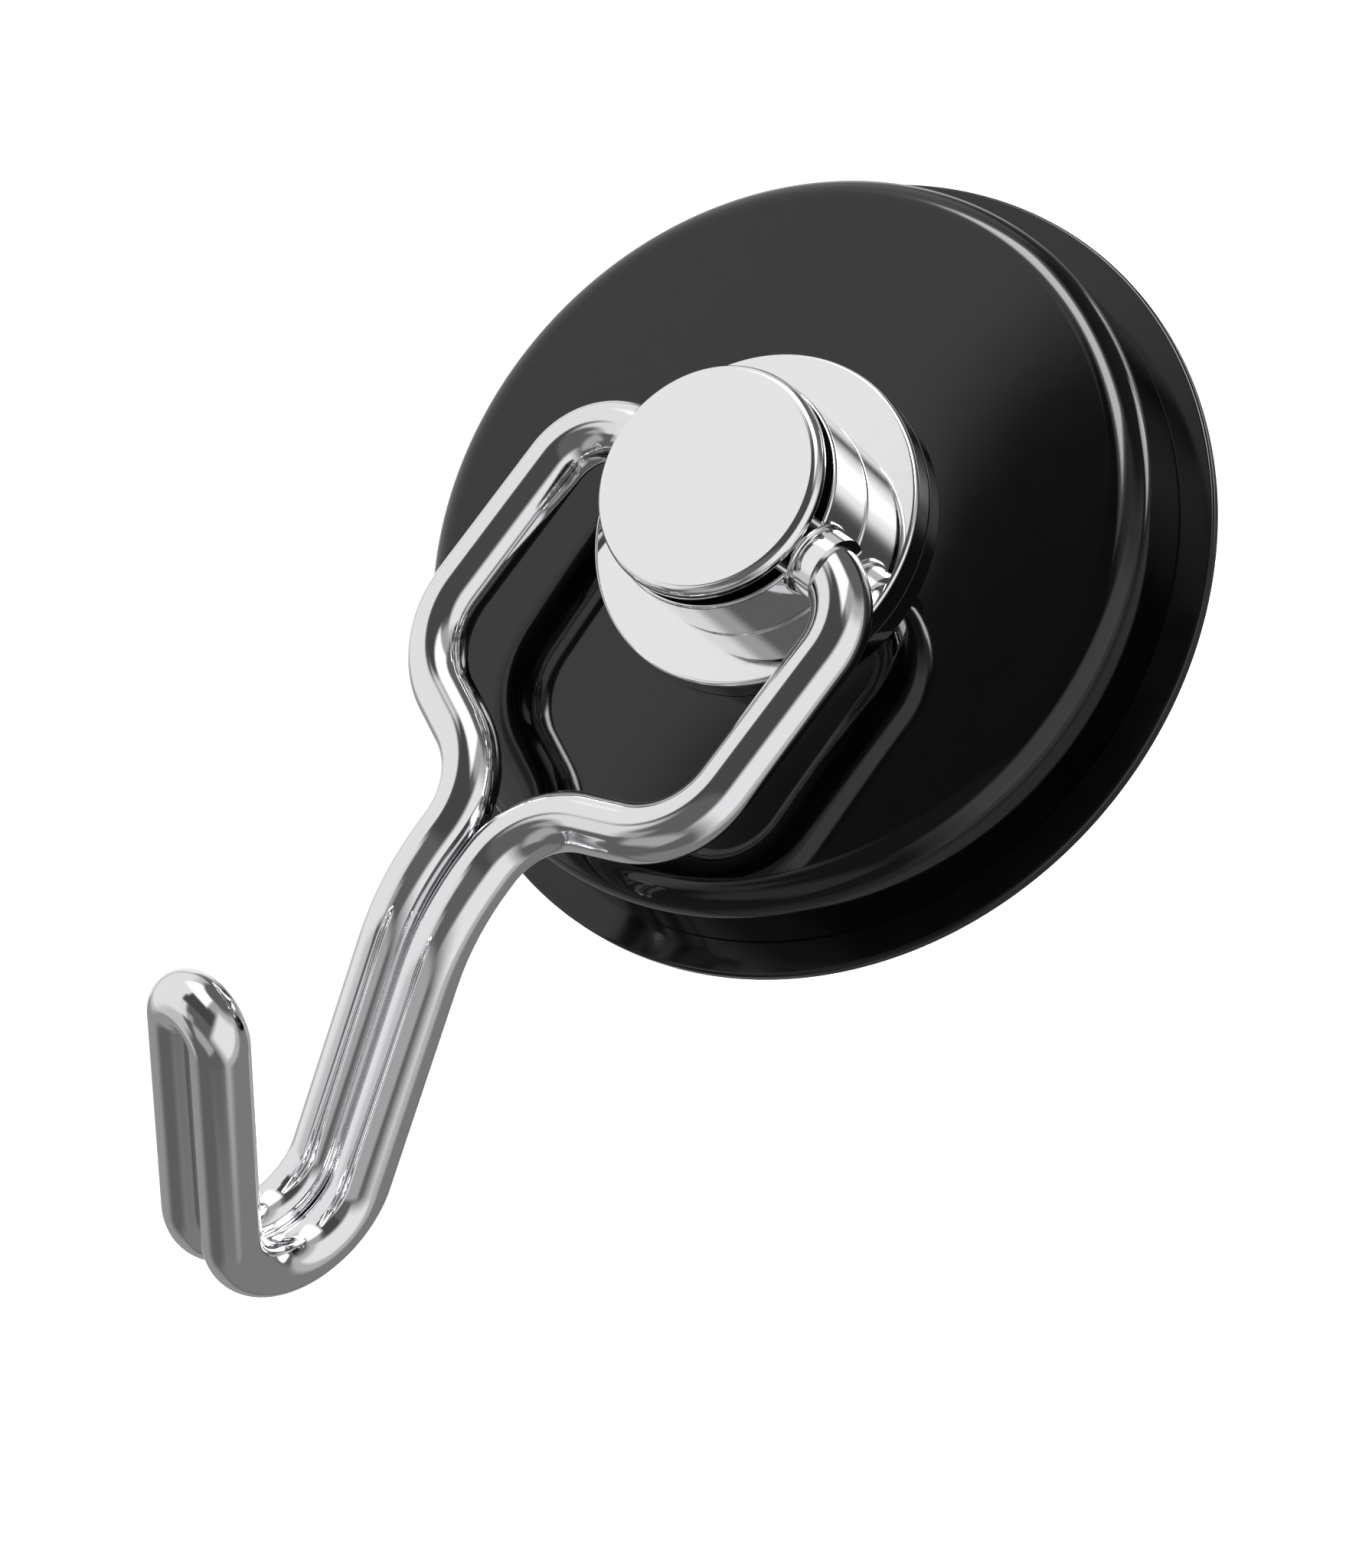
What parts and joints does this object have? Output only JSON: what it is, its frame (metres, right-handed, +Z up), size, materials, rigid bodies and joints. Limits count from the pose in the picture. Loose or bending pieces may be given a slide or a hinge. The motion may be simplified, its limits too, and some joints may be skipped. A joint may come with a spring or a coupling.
{
  "type": "swivel hook magnet",
  "caption": "Black pot magnet with a bright swivelling knob and a doubled wire hook that swings from the knob and hangs against a steel wall.",
  "frame": {"origin": "centre of the face that touches the steel", "axes": "+Y out of the magnet's back, into the steel; -Y out of the knob; +Z up as it hangs on an upright steel surface; the hook hangs along -Z"},
  "size_m": [0.048, 0.0251, 0.0756],
  "materials": {
    "guard_plastic": "glossy black",
    "film": "matt",
    "black_coating": "gloss black coating",
    "magnet_plating": "nickel plating",
    "resin": "cast, matt",
    "brass": "turned",
    "zinc_plated_steel": "zinc plated",
    "bright_chrome": "bright plating",
    "bearing_steel": "ground",
    "nylon": "natural",
    "bright_wire": "bright plating on drawn wire"
  },
  "bodies": {
    "magnet_base": {"guard_disc": "guard_plastic", "adhesive_film": "film", "pot_cup": "black_coating", "ring_magnet": "magnet_plating", "resin_ring": "resin", "magnet_sleeve": "brass", "bore_plug": "resin", "pivot_screw": "zinc_plated_steel", "head_washer": "zinc_plated_steel", "swivel_flange": "bright_chrome", "lower_race": "bearing_steel", "dished_washer": "zinc_plated_steel", "lock_nut": "zinc_plated_steel"},
    "ball_set": {"bearing_balls": "bearing_steel", "ball_cage": "brass"},
    "knob": {"upper_race": "bearing_steel", "knob_body": "bright_chrome", "slip_washer": "nylon", "knob_cap": "bright_chrome"},
    "hook": {"wire_hook": "bright_wire"}
  },
  "joints": [
    {"name": "knob_swivel", "type": "hinge", "parent": "magnet_base", "child": "knob", "pos_m": [0, -0.01183, 0], "axis": [0, 1, 0], "continuous": true},
    {"name": "cage_turn", "type": "hinge", "parent": "magnet_base", "child": "ball_set", "pos_m": [0, -0.0089, 0], "axis": [0, 1, 0], "continuous": true},
    {"name": "hook_swing", "type": "hinge", "parent": "knob", "child": "hook", "pos_m": [0, -0.01183, 0], "axis": [1, 0, 0], "range_deg": [-178, 6]}
  ],
  "couplings": [
    {"joint": "cage_turn", "follows": "knob_swivel", "ratio": 0.5}
  ]
}
